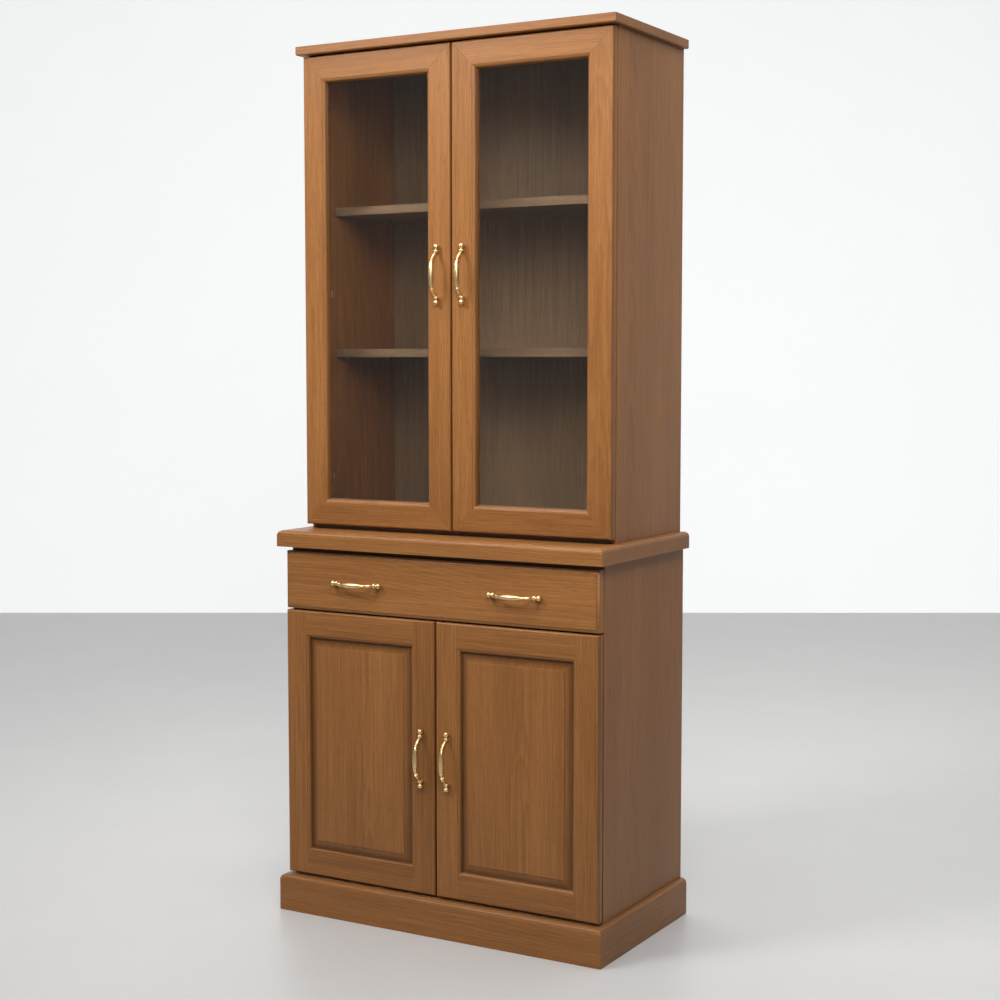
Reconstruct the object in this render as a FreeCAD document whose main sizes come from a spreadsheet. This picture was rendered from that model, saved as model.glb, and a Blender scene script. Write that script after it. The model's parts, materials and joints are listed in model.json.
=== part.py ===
import FreeCAD, Part
import math
import os
import Sketcher
from types import SimpleNamespace

# Dresser with a glazed hutch, in millimetres.
# X runs to the viewer's right, Y to the rear, Z up. The origin is the middle of the floor
# area that the whole piece covers, pulls included. Left-hand pieces mirror the right-hand ones.

SIZES = {
    # plinth: a mitred skirting under the base cabinet
    "plinth_height": 84, "plinth_board": 22, "plinth_overhang": 15, "plinth_moulding": 9,
    "cleat_height": 20, "cleat_width": 30,
    # base cabinet, over its side panels and from the door faces to the rear
    "base_width": 810, "base_depth": 428,
    "side_board": 18, "rail_board": 18, "rail_width": 80, "back_board": 6, "back_lap": 10,
    "base_door_lift": 6, "base_door_height": 618, "drawer_reveal": 4,
    "drawer_front_height": 133, "counter_reveal": 10,
    "base_shelf_height": 280, "base_shelf_setback": 34,
    # countertop with mitred lipping
    "counter_board": 37, "counter_overhang": 15, "lipping_width": 20, "counter_moulding": 8,
    # hutch
    "hutch_inset": 8, "hutch_setback": 70, "hutch_door_lift": 10, "hutch_door_height": 1075,
    "top_reveal": 3, "top_thickness": 20, "top_overhang": 12, "top_round": 3.5,
    "shelf_board": 19, "shelf_setback": 74, "shelf_end_gap": 2, "shelf_rear_gap": 1,
    "lower_shelf_height": 418, "upper_shelf_height": 749,
    "shelf_pin_radius": 2.5, "shelf_pin_sink": 8, "shelf_pin_reach": 9, "shelf_pin_inset": 40,
    "dowel_radius": 4, "dowel_sink": 18, "dowel_rise": 12, "dowel_inset": 60,
    # doors: frames, mouldings, raised panels and glazing
    "door_board": 22, "door_standoff": 4, "meeting_gap": 4, "edge_round": 5, "edge_break": 2,
    "base_frame_width": 64, "hutch_frame_width": 62, "sticking": 9, "moulding_step": 1.2,
    "groove_front": 10.5, "groove_width": 6, "groove_depth": 10, "panel_play": 0.1,
    "panel_room": 1, "bevel_width": 19, "bevel_lip": 1, "field_recess": 3, "field_step": 1.5,
    "rabbet_width": 10, "glass_front": 12, "glass_sheet": 4, "glass_room": 0.5, "bead_width": 9.5,
    # single-joint cup hinges
    "cup_radius": 17.5, "cup_depth": 13, "cup_wall": 0.9, "cup_play": 0.05, "cup_from_edge": 5,
    "cup_rim": 1, "cup_wing_length": 62, "cup_wing_width": 15,
    "pivot_from_edge": 10.5, "pivot_from_back": 9, "pin_radius": 1.5, "pin_play": 0.05,
    "eye_radius": 2.8, "nose_width": 8, "nose_reach": 14, "arm_steel": 2, "arm_bend": 3,
    "arm_width": 15, "arm_start": 20, "arm_end": 66, "plate_start": 30, "plate_end": 54,
    "plate_wing": 22, "base_hinge_inset": 90, "hutch_hinge_inset": 110,
    # drawer box on side runners
    "box_height": 100, "box_lift": 15, "box_rear_room": 30, "box_side": 14, "box_end": 14,
    "side_play": 1.5, "runner_height": 16, "runner_width": 10, "runner_play": 0.3,
    "runner_room": 0.5, "runner_lift": 42, "groove_stop": 18,
    "bottom_board": 5, "bottom_lift": 12, "bottom_groove": 6, "pin_slim": 8, "pin_wide": 13,
    # turned bow pulls
    "pull_centres": 102, "pull_axis": 12, "bow_rise": 18,
    "belly_radius": 5.3, "neck_radius": 2.4, "swell_radius": 3.8,
    "ring_radius": 4.2, "ring_width": 3,
    "barrel_radius": 6, "barrel_length": 6, "barrel_bevel": 1.5,
    "ball_radius": 6, "waist_radius": 3.6, "waist_length": 3, "post_radius": 4,
    "foot_radius": 5.5, "foot_height": 2.5,
    "base_pull_height": 309, "hutch_pull_height": 570, "drawer_pull_inset": 200,
}

doc = FreeCAD.newDocument("dresser")
sheet = doc.addObject("Spreadsheet::Sheet", "Sizes")
for row, (alias, number) in enumerate(SIZES.items(), start=1):
    sheet.set("A%d" % row, alias)
    sheet.set("B%d" % row, str(number))
    sheet.setAlias("B%d" % row, alias)
doc.recompute()


class Size:
    """A length worked out from cells of the sheet: its formula, and its value now."""

    def __init__(self, formula, value):
        self.formula = formula
        self.value = value

    def __add__(self, other):
        return joined(self, "+", other, self.value + value_of(other))

    def __sub__(self, other):
        return joined(self, "-", other, self.value - value_of(other))

    def __mul__(self, other):
        return joined(self, "*", other, self.value * value_of(other))

    def __truediv__(self, other):
        return joined(self, "/", other, self.value / value_of(other))

    def __neg__(self):
        return joined(0, "-", self, -self.value)


def value_of(size):
    return size.value if isinstance(size, Size) else float(size)


def formula_of(size):
    return size.formula if isinstance(size, Size) else repr(float(size))


def joined(first, sign, second, value):
    return Size("(%s %s %s)" % (formula_of(first), sign, formula_of(second)), value)


def root(size):
    return Size("sqrt(%s)" % size.formula, math.sqrt(size.value))


def angle_of(slope):
    """The angle in degrees of a slope."""
    return Size("atan(%s)" % slope.formula, math.degrees(math.atan(slope.value)))


s = SimpleNamespace(**{name: Size("Sizes." + name, sheet.get(name)) for name in SIZES})


# ---------------------------------------------------------------- planes that pieces share

GROUND = 0
BASE_HALF = s.base_width / 2
BASE_IN = BASE_HALF - s.side_board
HUTCH_HALF = BASE_HALF - s.hutch_inset
HUTCH_IN = HUTCH_HALF - s.side_board

PULL_REACH = s.pull_axis + s.bow_rise + s.belly_radius
REAR = (s.base_depth + PULL_REACH) / 2
BACK_FACE = REAR - s.back_board
BASE_FACE = REAR - s.base_depth
BASE_FRONT = BASE_FACE + s.door_board + s.door_standoff
HUTCH_FACE = BASE_FACE + s.hutch_setback
HUTCH_FRONT = HUTCH_FACE + s.door_board + s.door_standoff

PLINTH_TOP = s.plinth_height
BASE_FLOOR = PLINTH_TOP + s.rail_board
BASE_DOOR_LOW = PLINTH_TOP + s.base_door_lift
BASE_DOOR_HIGH = BASE_DOOR_LOW + s.base_door_height
DRAWER_LOW = BASE_DOOR_HIGH + s.drawer_reveal
DRAWER_HIGH = DRAWER_LOW + s.drawer_front_height
COUNTER_LOW = DRAWER_HIGH + s.counter_reveal
COUNTER_TOP = COUNTER_LOW + s.counter_board
HUTCH_DOOR_LOW = COUNTER_TOP + s.hutch_door_lift
HUTCH_DOOR_HIGH = HUTCH_DOOR_LOW + s.hutch_door_height
TOP_LOW = HUTCH_DOOR_HIGH + s.top_reveal
TOP_HIGH = TOP_LOW + s.top_thickness
DOOR_INNER_EDGE = s.meeting_gap / 2


# ---------------------------------------------------------------- outlines

def moved(point, way, distance):
    """The point a distance away along a direction made of ones and zeros."""
    return tuple(c if w == 0 else c + distance if w > 0 else c - distance
                 for c, w in zip(point, way))


def turned(way):
    return tuple(-w for w in way)


def rounded(centre, radius, end):
    """A step of an outline that reaches its end by the shorter arc about a centre."""
    return SimpleNamespace(centre=centre, radius=radius, end=end)


def round_over(corner, into, out, radius):
    """A quarter round in place of a corner; into and out are the outline's ways there."""
    start = moved(corner, turned(into), radius)
    return [start, rounded(moved(start, out, radius), radius, moved(corner, out, radius))]


def ovolo(corner, into, out, size):
    """A quarter round between two small steps, in place of a corner."""
    start = moved(corner, turned(into), size)
    end = moved(corner, out, size)
    centre = moved(start, out, size)
    foot = moved(end, turned(into), s.moulding_step)
    return [start, moved(start, out, s.moulding_step),
            rounded(centre, size - s.moulding_step, foot), end]


def swapped(path):
    """The same outline with its two coordinates exchanged."""
    return [rounded(p.centre[::-1], p.radius, p.end[::-1]) if hasattr(p, "end") else p[::-1]
            for p in path]


def rectangle(across, up):
    return [(across[1], up[0]), (across[1], up[1]), (across[0], up[1]), (across[0], up[0])]


# ---------------------------------------------------------------- ways of making a piece

nodes = {}


def keep(label, piece):
    """Name a finished piece and list it for export."""
    piece.Label = label
    nodes[label] = piece
    return piece


def bind(thing, prop, size):
    thing.setExpression(prop, formula_of(size))


def bind_place(thing, x, y, z):
    for axis, size in zip("xyz", (x, y, z)):
        bind(thing, "Placement.Base." + axis, size)


def new_body(name):
    return doc.addObject("PartDesign::Body", name)


def block(body, x, y, z, cut=False):
    """A box between pairs of planes, added to the body or cut from it."""
    kind = "PartDesign::SubtractiveBox" if cut else "PartDesign::AdditiveBox"
    box = body.newObject(kind, "Slot" if cut else "Board")
    for prop, span in (("Length", x), ("Width", y), ("Height", z)):
        bind(box, prop, span[1] - span[0])
    bind_place(box, x[0], y[0], z[0])


TURNS = {
    "X": FreeCAD.Rotation(FreeCAD.Vector(0, 1, 0), 90),
    "Y": FreeCAD.Rotation(FreeCAD.Vector(1, 0, 0), -90),
    "Z": FreeCAD.Rotation(),
}


def rod(body, axis, start, radius, length, cut=False):
    """A cylinder from a start point along an axis, added to the body or cut from it."""
    kind = "PartDesign::SubtractiveCylinder" if cut else "PartDesign::AdditiveCylinder"
    cylinder = body.newObject(kind, "Bore" if cut else "Rod")
    bind(cylinder, "Radius", radius)
    bind(cylinder, "Height", length)
    cylinder.Placement = FreeCAD.Placement(FreeCAD.Vector(), TURNS[axis])
    bind_place(cylinder, *start)
    return cylinder


def new_sketch(body, plane, offset=0):
    """A sketch on one of the body's origin planes, or off it along the plane's normal."""
    sketch = body.newObject("Sketcher::SketchObject", "Outline")
    support = [f for f in body.Origin.OriginFeatures if f.Role == plane + "_Plane"][0]
    sketch.AttachmentSupport = (support, [""])
    sketch.MapMode = "FlatFace"
    bind(sketch, "AttachmentOffset.Base.z", offset)
    return sketch


def fix(sketch, kind, size, *where):
    """Constrain the sketch by a size of the sheet."""
    index = sketch.addConstraint(Sketcher.Constraint(kind, *where, value_of(size)))
    bind(sketch, "Constraints[%d]" % index, size)


def draw(sketch, path):
    """Draw a closed outline through corners and rounded steps, every point tied down."""
    corners = [p.end if hasattr(p, "end") else p for p in path]
    spots = [FreeCAD.Vector(value_of(x), value_of(y), 0) for x, y in corners]
    sides = []
    for i, step in enumerate(path):
        before, after = spots[i - 1], spots[i]
        if not hasattr(step, "end"):
            side = sketch.addGeometry(Part.LineSegment(before, after), False)
            sides.append((side, 1, 2))
            continue
        middle = FreeCAD.Vector(value_of(step.centre[0]), value_of(step.centre[1]), 0)
        first, last = [math.atan2(p.y - middle.y, p.x - middle.x) for p in (before, after)]
        forward = (last - first) % (2 * math.pi) < math.pi
        circle = Part.Circle(middle, FreeCAD.Vector(0, 0, 1), value_of(step.radius))
        span = (first, last) if forward else (last, first)
        side = sketch.addGeometry(Part.ArcOfCircle(circle, *span), False)
        sides.append((side, 1, 2) if forward else (side, 2, 1))
        fix(sketch, "Radius", step.radius, side)
    for i, (side, start, stop) in enumerate(sides):
        last_side, _, last_stop = sides[i - 1]
        meet = Sketcher.Constraint("Coincident", last_side, last_stop, side, start)
        sketch.addConstraint(meet)
        fix(sketch, "DistanceX", corners[i][0], -1, 1, side, stop)
        fix(sketch, "DistanceY", corners[i][1], -1, 1, side, stop)


def pad(body, plane, paths, span):
    """Extrude outlines between two planes square to the sketch."""
    away = plane == "XZ"
    sketch = new_sketch(body, plane, -span[0] if away else span[0])
    for path in paths:
        draw(sketch, path)
    feature = body.newObject("PartDesign::Pad", "Pad")
    feature.Profile = sketch
    bind(feature, "Length", span[1] - span[0])
    feature.Reversed = away


def pocket_through(body, plane, paths):
    """Cut outlines right through the body, both ways from its origin plane."""
    sketch = new_sketch(body, plane)
    for path in paths:
        draw(sketch, path)
    feature = body.newObject("PartDesign::Pocket", "Pocket")
    feature.Profile = sketch
    feature.Type = "ThroughAll"
    feature.Midplane = True


def fillet(body, radius, side, but_not):
    """Round the edges that lie on one side of the body's box and not on another."""
    doc.recompute()
    base = body.Tip

    def lies_on(edge, name):
        limit = getattr(base.Shape.BoundBox, name)
        axis = name[0].lower()
        return all(abs(getattr(v.Point, axis) - limit) < 1e-6 for v in edge.Vertexes)
    names = ["Edge%d" % number for number, edge in enumerate(base.Shape.Edges, start=1)
             if lies_on(edge, side) and not (but_not and lies_on(edge, but_not))]
    feature = body.newObject("PartDesign::Fillet", "Round")
    feature.Base = (base, names)
    bind(feature, "Radius", radius)


def board(label, x, y, z):
    """A plain board, kept as a node of its own."""
    body = new_body(label)
    block(body, x, y, z)
    return keep(label, body)


def mirrored(source, label):
    """The left-hand twin of a right-hand piece."""
    twin = doc.addObject("Part::Mirroring", label)
    twin.Source = source
    twin.Base = FreeCAD.Vector(0, 0, 0)
    twin.Normal = FreeCAD.Vector(1, 0, 0)
    return twin


def keep_pair(label, right):
    """Keep a right-hand piece and its twin; the label has a %s for right or left."""
    keep(label % "right", right)
    keep(label % "left", mirrored(right, label % "left"))


def group(label, pieces):
    """Several solids that share one node."""
    cluster = doc.addObject("Part::Compound", label)
    cluster.Links = pieces
    return cluster


def placed(source, x, y, z, turn=FreeCAD.Rotation()):
    """A copy of a master piece, set down at a point."""
    copy = group(source.Name + "_copy", [source])
    copy.Placement = FreeCAD.Placement(FreeCAD.Vector(), turn)
    bind_place(copy, x, y, z)
    return copy


# ---------------------------------------------------------------- plinth and countertop

def moulded_skirt(name, half, front, height, width, moulding):
    """Front and right strips, mitred where they meet, with a moulded outer top edge."""
    low, high = height
    face = new_body(name + "_front")
    section = [(front + width, low), (front, low)]
    section += ovolo((front, high), (0, 1), (1, 0), moulding)
    section.append((front + width, high))
    pad(face, "YZ", [section], (-half, half))
    mitres = [[(half, front), (half, front + width), (half - width, front + width)],
              [(-half, front), (-half, front + width), (width - half, front + width)]]
    pocket_through(face, "XY", mitres)

    side = new_body(name + "_right")
    section = [(half - width, low), (half, low)]
    section += ovolo((half, high), (0, 1), (-1, 0), moulding)
    section.append((half - width, high))
    pad(side, "XZ", [section], (front, REAR))
    mitre = [(half, front), (half - width, front), (half - width, front + width)]
    pocket_through(side, "XY", [mitre])
    return face, side


def make_plinth():
    half = BASE_HALF + s.plinth_overhang
    front = BASE_FACE - s.plinth_overhang
    face, side = moulded_skirt("plinth", half, front, (GROUND, PLINTH_TOP), s.plinth_board,
                               s.plinth_moulding)
    keep("plinth_front", face)
    keep_pair("plinth_%s", side)
    inside = half - s.plinth_board
    near = front + s.plinth_board
    far = REAR - s.plinth_board
    board("plinth_back", (-inside, inside), (far, REAR), (GROUND, PLINTH_TOP))

    between = (near + s.cleat_width, far - s.cleat_width)
    spans = [((-inside, inside), (near, near + s.cleat_width)),
             ((-inside, inside), (far - s.cleat_width, far)),
             ((inside - s.cleat_width, inside), between),
             ((-inside, s.cleat_width - inside), between)]
    strips = []
    for across, along in spans:
        strip = new_body("cleat")
        block(strip, across, along, (PLINTH_TOP - s.cleat_height, PLINTH_TOP))
        strips.append(strip)
    keep("plinth_cleats", group("plinth_cleats", strips))


def dowel_spots():
    side = HUTCH_IN - s.dowel_inset
    depths = (HUTCH_FRONT + s.dowel_inset, BACK_FACE - s.dowel_inset)
    return [(across, depth) for across in (-side, side) for depth in depths]


def make_countertop():
    half = BASE_HALF + s.counter_overhang
    front = BASE_FACE - s.counter_overhang
    height = (COUNTER_LOW, COUNTER_TOP)
    face, side = moulded_skirt("lipping", half, front, height, s.lipping_width,
                               s.counter_moulding)
    strips = [face, side, mirrored(side, "lipping_left")]
    keep("countertop_edging", group("countertop_edging", strips))
    core = half - s.lipping_width
    slab = new_body("countertop")
    block(slab, (-core, core), (front + s.lipping_width, REAR), height)
    for across, depth in dowel_spots():
        start = (across, depth, COUNTER_TOP - s.dowel_sink)
        rod(slab, "Z", start, s.dowel_radius, s.dowel_sink, cut=True)
    keep("countertop", slab)


# ---------------------------------------------------------------- carcasses and shelves

BASE_SHELF = (BASE_FLOOR + s.base_shelf_height, BASE_FRONT + s.base_shelf_setback)
LOWER_SHELF = (COUNTER_TOP + s.lower_shelf_height - s.shelf_board, HUTCH_FRONT + s.shelf_setback)
UPPER_SHELF = (COUNTER_TOP + s.upper_shelf_height - s.shelf_board, HUTCH_FRONT + s.shelf_setback)


def pin_spots(shelf):
    """Depth and height of the two pins that carry one end of a shelf."""
    low, front = shelf
    height = low - s.shelf_pin_radius
    return [(front + s.shelf_pin_inset, height), (BACK_FACE - s.shelf_pin_inset, height)]


def side_panel(name, half, front, height, shelves):
    """A side panel with a rear rabbet for the back board and bores for shelf pins."""
    inner = half - s.side_board
    body = new_body(name)
    block(body, (inner, half), (front, REAR), height)
    block(body, (inner, inner + s.back_lap), (BACK_FACE, REAR), height, cut=True)
    for shelf in shelves:
        for depth, level in pin_spots(shelf):
            rod(body, "X", (inner, depth, level), s.shelf_pin_radius, s.shelf_pin_sink, cut=True)
    return body


def make_shelf(label, inner, shelf):
    low, front = shelf
    end = inner - s.shelf_end_gap
    board(label, (-end, end), (front, BACK_FACE - s.shelf_rear_gap), (low, low + s.shelf_board))


def make_base_carcass():
    height = (PLINTH_TOP, COUNTER_LOW)
    side = side_panel("base_side", BASE_HALF, BASE_FRONT, height, [BASE_SHELF])
    keep_pair("base_side_%s", side)
    across = (-BASE_IN, BASE_IN)
    board("base_bottom", across, (BASE_FRONT, BACK_FACE), (PLINTH_TOP, BASE_FLOOR))
    lap = BASE_IN + s.back_lap
    board("base_back_panel", (-lap, lap), (BACK_FACE, REAR), height)
    front_strip = (BASE_FRONT, BASE_FRONT + s.rail_width)
    rear_strip = (BACK_FACE - s.rail_width, BACK_FACE)
    low = BASE_DOOR_HIGH + s.drawer_reveal / 2 - s.rail_board / 2
    board("drawer_divider_rail", across, front_strip, (low, low + s.rail_board))
    rails = []
    for strip in (front_strip, rear_strip):
        rail = new_body("top_rail")
        block(rail, across, strip, (COUNTER_LOW - s.rail_board, COUNTER_LOW))
        rails.append(rail)
    keep("base_top_rails", group("base_top_rails", rails))
    make_shelf("base_shelf", BASE_IN, BASE_SHELF)


def make_hutch_carcass():
    height = (COUNTER_TOP, TOP_LOW)
    shelves = [LOWER_SHELF, UPPER_SHELF]
    keep_pair("hutch_side_%s", side_panel("hutch_side", HUTCH_HALF, HUTCH_FRONT, height, shelves))
    floor = new_body("hutch_bottom")
    block(floor, (-HUTCH_IN, HUTCH_IN), (HUTCH_FRONT, BACK_FACE),
          (COUNTER_TOP, COUNTER_TOP + s.rail_board))
    dowels = []
    for across, depth in dowel_spots():
        rod(floor, "Z", (across, depth, COUNTER_TOP), s.dowel_radius, s.dowel_rise, cut=True)
        dowel = new_body("dowel")
        rod(dowel, "Z", (across, depth, COUNTER_TOP - s.dowel_sink), s.dowel_radius,
            s.dowel_sink + s.dowel_rise)
        dowels.append(dowel)
    keep("hutch_bottom", floor)
    keep("hutch_dowels", group("hutch_dowels", dowels))
    lap = HUTCH_IN + s.back_lap
    board("hutch_back_panel", (-lap, lap), (BACK_FACE, REAR), height)
    make_shelf("hutch_shelf_lower", HUTCH_IN, LOWER_SHELF)
    make_shelf("hutch_shelf_upper", HUTCH_IN, UPPER_SHELF)

    top = new_body("top_board")
    half = HUTCH_HALF + s.top_overhang
    block(top, (-half, half), (HUTCH_FACE - s.top_overhang, REAR), (TOP_LOW, TOP_HIGH))
    fillet(top, s.top_round, "ZMin", "YMax")
    keep("top_board", top)


def make_shelf_pins():
    """Plain steel pins, half in the side panel's bore and half under the shelf."""
    pin = new_body("shelf_pin")
    rod(pin, "X", (-s.shelf_pin_reach, 0, 0), s.shelf_pin_radius,
        s.shelf_pin_reach + s.shelf_pin_sink)
    right = [placed(pin, inner, depth, level)
             for inner, shelf in ((BASE_IN, BASE_SHELF), (HUTCH_IN, LOWER_SHELF),
                                  (HUTCH_IN, UPPER_SHELF))
             for depth, level in pin_spots(shelf)]
    keep("shelf_pins", group("shelf_pins", right + [mirrored(p, "pin_left") for p in right]))


# ---------------------------------------------------------------- door frames

def panel_groove(inner, way, face):
    """The groove for a raised panel in a member's inner edge, with the edge behind it."""
    front = face + s.groove_front
    rear = front + s.groove_width
    floor = inner - s.groove_depth if way > 0 else inner + s.groove_depth
    return [(inner, front), (floor, front), (floor, rear), (inner, rear),
            (inner, face + s.door_board)]


def glass_rabbet(inner, way, face):
    """The rabbet for a pane in a member's inner edge, open to the rear."""
    front = face + s.glass_front
    wall = inner - s.rabbet_width if way > 0 else inner + s.rabbet_width
    return [(inner, front), (wall, front), (wall, face + s.door_board)]


def member_section(edge, way, face, width, seat):
    """The section across a frame member as (across, depth), moulded on its inner edge.

    edge is the member's outer edge and way, 1 or -1, leads from it into the door.
    """
    inner = edge + width if way > 0 else edge - width
    back = face + s.door_board
    path = round_over((edge, face), (0, -1), (way, 0), s.edge_round)
    path += ovolo((inner, face), (way, 0), (0, 1), s.sticking)
    path += seat(inner, way, face)
    break_in = edge + s.edge_break if way > 0 else edge - s.edge_break
    return path + [(break_in, back), (edge, back - s.edge_break)]


def soften_ends(body, face, low, high):
    """Carry the door's edge round and back edge break across a stile's two ends."""
    back = face + s.door_board
    cuts = []
    for end, way in ((low, 1), (high, -1)):
        inside = end + s.edge_round if way > 0 else end - s.edge_round
        notch = end + s.edge_break if way > 0 else end - s.edge_break
        cuts.append([(face, end), (face, inside),
                     rounded((face + s.edge_round, inside), s.edge_round,
                             (face + s.edge_round, end))])
        cuts.append([(back, end), (back - s.edge_break, end), (back, notch)])
    pocket_through(body, "YZ", cuts)


def hinge_heights(low, high, inset, count):
    """Evenly spaced heights, the first and last at an inset from the door's ends."""
    pitch = (high - low - inset * 2) / (count - 1)
    return [low + inset + pitch * k for k in range(count)]


def bore_for_cups(body, edge, face, heights):
    centre = edge - s.cup_from_edge - s.cup_radius
    floor = face + s.door_board - s.cup_depth
    for height in heights:
        rod(body, "Y", (centre, floor, height), s.cup_radius, s.cup_depth, cut=True)


BASE_HINGES = hinge_heights(BASE_DOOR_LOW, BASE_DOOR_HIGH, s.base_hinge_inset, 2)
HUTCH_HINGES = hinge_heights(HUTCH_DOOR_LOW, HUTCH_DOOR_HIGH, s.hutch_hinge_inset, 3)


def make_base_doors():
    """Frame and raised panel: full-height stiles with the rails coped over their moulding."""
    face, low, high = BASE_FACE, BASE_DOOR_LOW, BASE_DOOR_HIGH
    width = s.base_frame_width
    inner_stile = member_section(DOOR_INNER_EDGE, 1, face, width, panel_groove)
    outer_stile = member_section(BASE_HALF, -1, face, width, panel_groove)
    for name, section in (("inner_stile", inner_stile), ("outer_stile", outer_stile)):
        stile = new_body("base_" + name)
        pad(stile, "XY", [section], (low, high))
        soften_ends(stile, face, low, high)
        if name == "outer_stile":
            bore_for_cups(stile, BASE_HALF, face, BASE_HINGES)
        keep_pair("base_door_%s_" + name, stile)

    shoulder = width - s.groove_depth
    span = (DOOR_INNER_EDGE + shoulder, BASE_HALF - shoulder)
    rails = []
    for end, way in ((low, 1), (high, -1)):
        rail = new_body("base_rail")
        pad(rail, "YZ", [swapped(member_section(end, way, face, width, panel_groove))], span)
        pocket_through(rail, "XY", [inner_stile, outer_stile])
        rails.append(rail)
    keep_pair("base_door_%s_rails", group("base_rails", rails))
    keep_pair("base_door_%s_panel", raised_panel(face, low, high, width))


def raised_panel(face, low, high, width):
    """A panel with a tongue all round, a sloping bevel and a flat raised field."""
    across = (DOOR_INNER_EDGE + width, BASE_HALF - width)
    up = (low + width, high - width)

    def inset(amount):
        return rectangle((across[0] + amount, across[1] - amount),
                         (up[0] + amount, up[1] - amount))
    tongue_front = face + s.groove_front + s.panel_play
    tongue_back = face + s.groove_front + s.groove_width - s.panel_play
    foot = face + s.field_recess + s.field_step
    body = new_body("raised_panel")
    pad(body, "XZ", [inset(s.panel_room - s.groove_depth)], (tongue_front, tongue_back))
    outlines = []
    for plane, amount in ((tongue_front, s.bevel_lip), (foot, s.bevel_width)):
        sketch = new_sketch(body, "XZ", -plane)
        draw(sketch, inset(amount))
        outlines.append(sketch)
    bevel = body.newObject("PartDesign::AdditiveLoft", "Bevel")
    bevel.Profile = outlines[0]
    bevel.Sections = outlines[1:]
    bevel.Ruled = True
    pad(body, "XZ", [inset(s.bevel_width)], (face + s.field_recess, foot))
    return body


def make_hutch_doors():
    """Mitred frames with a moulded front, a pane in the rabbet and beads behind it."""
    face, low, high = HUTCH_FACE, HUTCH_DOOR_LOW, HUTCH_DOOR_HIGH
    width = s.hutch_frame_width
    left, right = DOOR_INNER_EDGE, HUTCH_HALF
    for name, edge, way in (("inner_stile", left, 1), ("outer_stile", right, -1)):
        stile = new_body("hutch_" + name)
        section = member_section(edge, way, face, width, glass_rabbet)
        pad(stile, "XY", [section], (low, high))
        inner = edge + width if way > 0 else edge - width
        pocket_through(stile, "XZ", [[(edge, low), (inner, low), (inner, low + width)],
                                     [(edge, high), (inner, high), (inner, high - width)]])
        if name == "outer_stile":
            bore_for_cups(stile, right, face, HUTCH_HINGES)
        keep_pair("hutch_door_%s_" + name, stile)

    rails = []
    for end, way in ((low, 1), (high, -1)):
        rail = new_body("hutch_rail")
        section = member_section(end, way, face, width, glass_rabbet)
        pad(rail, "YZ", [swapped(section)], (left, right))
        inner = end + width if way > 0 else end - width
        pocket_through(rail, "XZ", [[(left, end), (left, inner), (left + width, inner)],
                                    [(right, end), (right, inner), (right - width, inner)]])
        rails.append(rail)
    keep_pair("hutch_door_%s_rails", group("hutch_rails", rails))

    wall = width - s.rabbet_width
    across = (left + wall, right - wall)
    up = (low + wall, high - wall)
    pane_front = face + s.glass_front
    pane_back = pane_front + s.glass_sheet
    pane = new_body("pane")
    room = s.glass_room
    block(pane, (across[0] + room, across[1] - room), (pane_front, pane_back),
          (up[0] + room, up[1] - room))
    keep_pair("hutch_door_%s_glass", pane)

    deep = s.bead_width
    mid_across = (across[0] + deep, across[1] - deep)
    mid_up = (up[0] + deep, up[1] - deep)
    beads = []
    for k in (0, 1):
        upright = [(across[k], up[0]), (mid_across[k], mid_up[0]), (mid_across[k], mid_up[1]),
                   (across[k], up[1])]
        level = [(across[0], up[k]), (mid_across[0], mid_up[k]), (mid_across[1], mid_up[k]),
                 (across[1], up[k])]
        for outline in (upright, level):
            bead = new_body("bead")
            pad(bead, "XZ", [outline], (pane_back, face + s.door_board))
            beads.append(bead)
    keep_pair("hutch_door_%s_glazing_beads", group("glazing_beads", beads))


# ---------------------------------------------------------------- cup hinges

CUP_CENTRE = s.pivot_from_edge - s.cup_from_edge - s.cup_radius


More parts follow.
